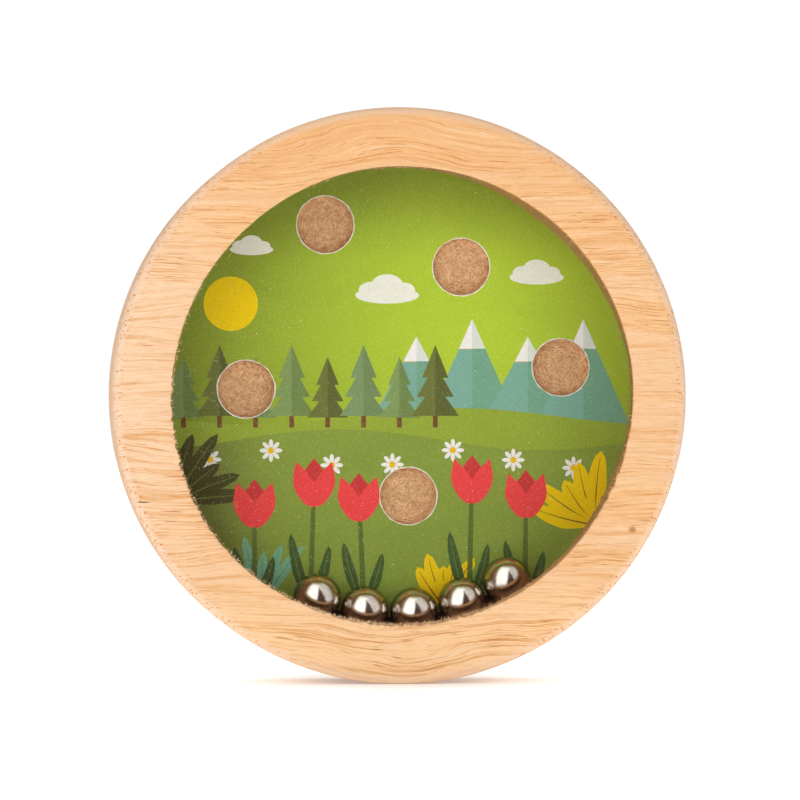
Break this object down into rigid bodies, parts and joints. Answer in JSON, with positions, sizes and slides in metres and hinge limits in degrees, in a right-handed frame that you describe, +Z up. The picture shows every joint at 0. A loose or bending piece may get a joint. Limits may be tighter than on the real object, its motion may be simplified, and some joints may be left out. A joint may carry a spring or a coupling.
{
  "type": "hand-held ball puzzle",
  "caption": "Round wooden hand-held dexterity puzzle: loose steel balls roll over a printed board behind a clear window and settle in shallow pits.",
  "frame": {"origin": "on the floor under the middle of the ring, halfway through its thickness, with the puzzle standing on its rim", "axes": "+Z up, -Y out of the window towards the player, +X to the player's right; the ring's own axis runs along Y, 48 mm up"},
  "size_m": [0.096, 0.019, 0.096],
  "materials": {
    "pale_wood": "satin",
    "clear_acrylic": "gloss",
    "printed_paper": "satin",
    "fibreboard": "matte",
    "polished_steel": "polished"
  },
  "bodies": {
    "frame": {"frame_ring": "pale_wood", "window": "clear_acrylic", "printed_label": "printed_paper", "game_board": "fibreboard"},
    "ball_one": {"ball_1": "polished_steel"},
    "ball_two": {"ball_2": "polished_steel"},
    "ball_three": {"ball_3": "polished_steel"},
    "ball_four": {"ball_4": "polished_steel"},
    "ball_five": {"ball_5": "polished_steel"}
  },
  "joints": [
    {"name": "ball_one_to_left_pit", "type": "slide", "parent": "frame", "child": "ball_one", "axis": [-0.3156, 0, 0.9489], "range_m": [0, 0.03695]},
    {"name": "ball_two_to_top_right_pit", "type": "slide", "parent": "frame", "child": "ball_two", "axis": [0.2787, 0, 0.9604], "range_m": [0, 0.06027]},
    {"name": "ball_three_to_low_pit", "type": "slide", "parent": "frame", "child": "ball_three", "axis": [-0.0266, 0, 0.9996], "range_m": [0, 0.01932]},
    {"name": "ball_four_to_top_left_pit", "type": "slide", "parent": "frame", "child": "ball_four", "axis": [-0.3371, 0, 0.9415], "range_m": [0, 0.06752]},
    {"name": "ball_five_to_right_pit", "type": "slide", "parent": "frame", "child": "ball_five", "axis": [0.2619, 0, 0.9651], "range_m": [0, 0.03731]}
  ]
}
